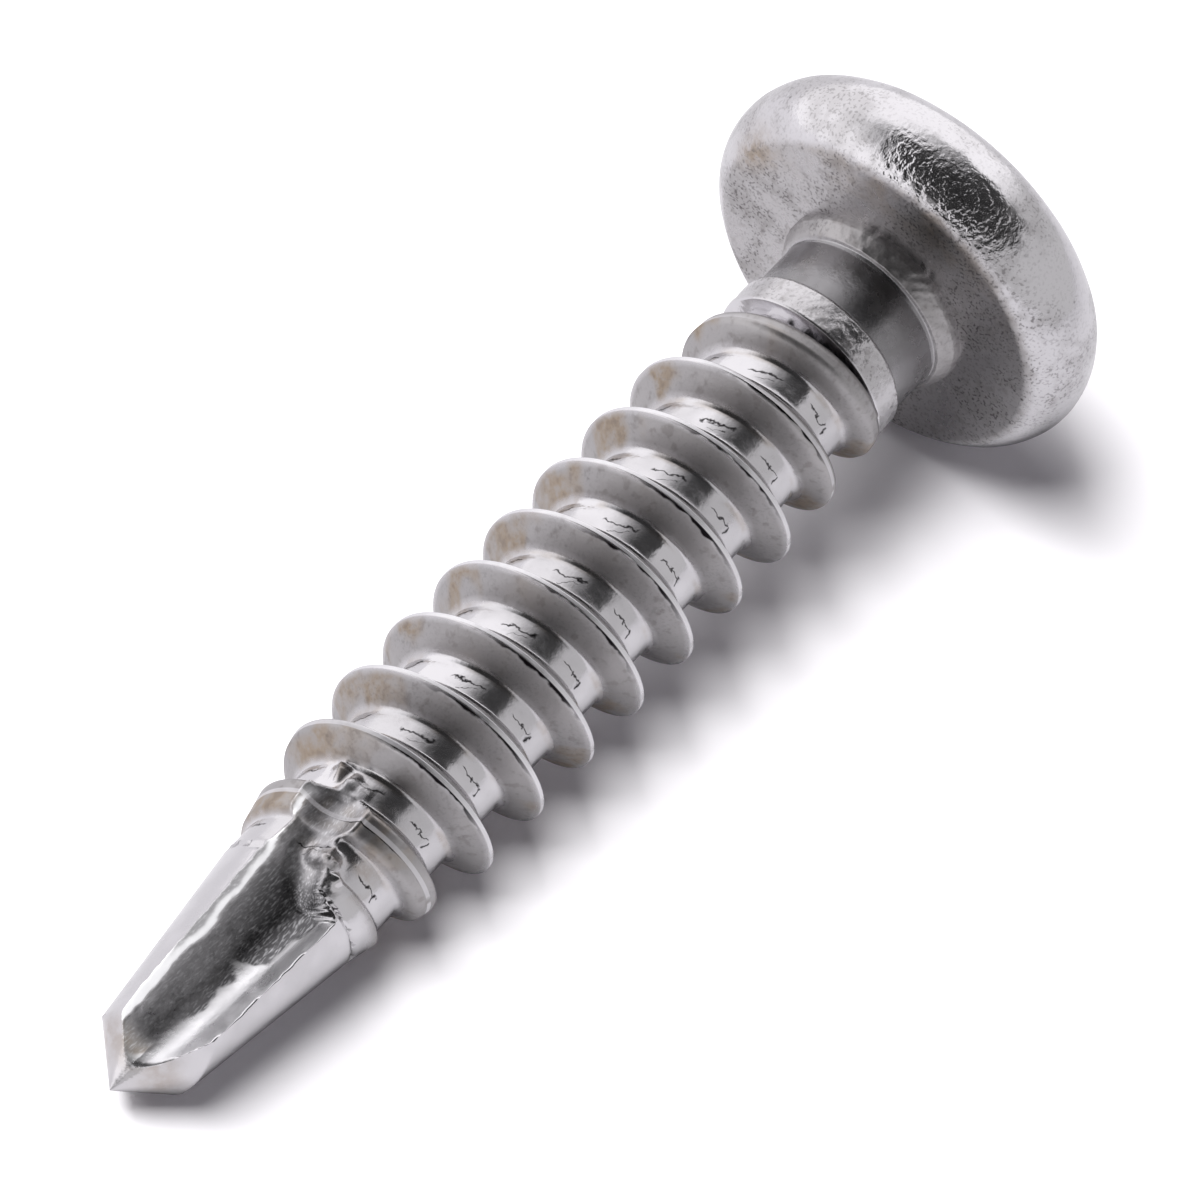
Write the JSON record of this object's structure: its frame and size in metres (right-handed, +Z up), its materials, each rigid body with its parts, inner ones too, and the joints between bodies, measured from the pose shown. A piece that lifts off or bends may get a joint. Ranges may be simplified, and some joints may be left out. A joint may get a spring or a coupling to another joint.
{
  "type": "self drilling screw",
  "caption": "Pan head self drilling screw with a cross recess, a coarse rolled thread and a forged two-flute drill point, lying on its side.",
  "frame": {"origin": "centre of the bounding box at table height, with the screw lying at rest", "axes": "+X from the drill point towards the head, along the table; +Z up"},
  "size_m": [0.0274, 0.0092, 0.0091],
  "materials": {
    "zinc_plated_steel": "zinc plated, bright with stained roots"
  },
  "bodies": {
    "root": {"screw": "zinc_plated_steel"}
  },
  "joints": []
}
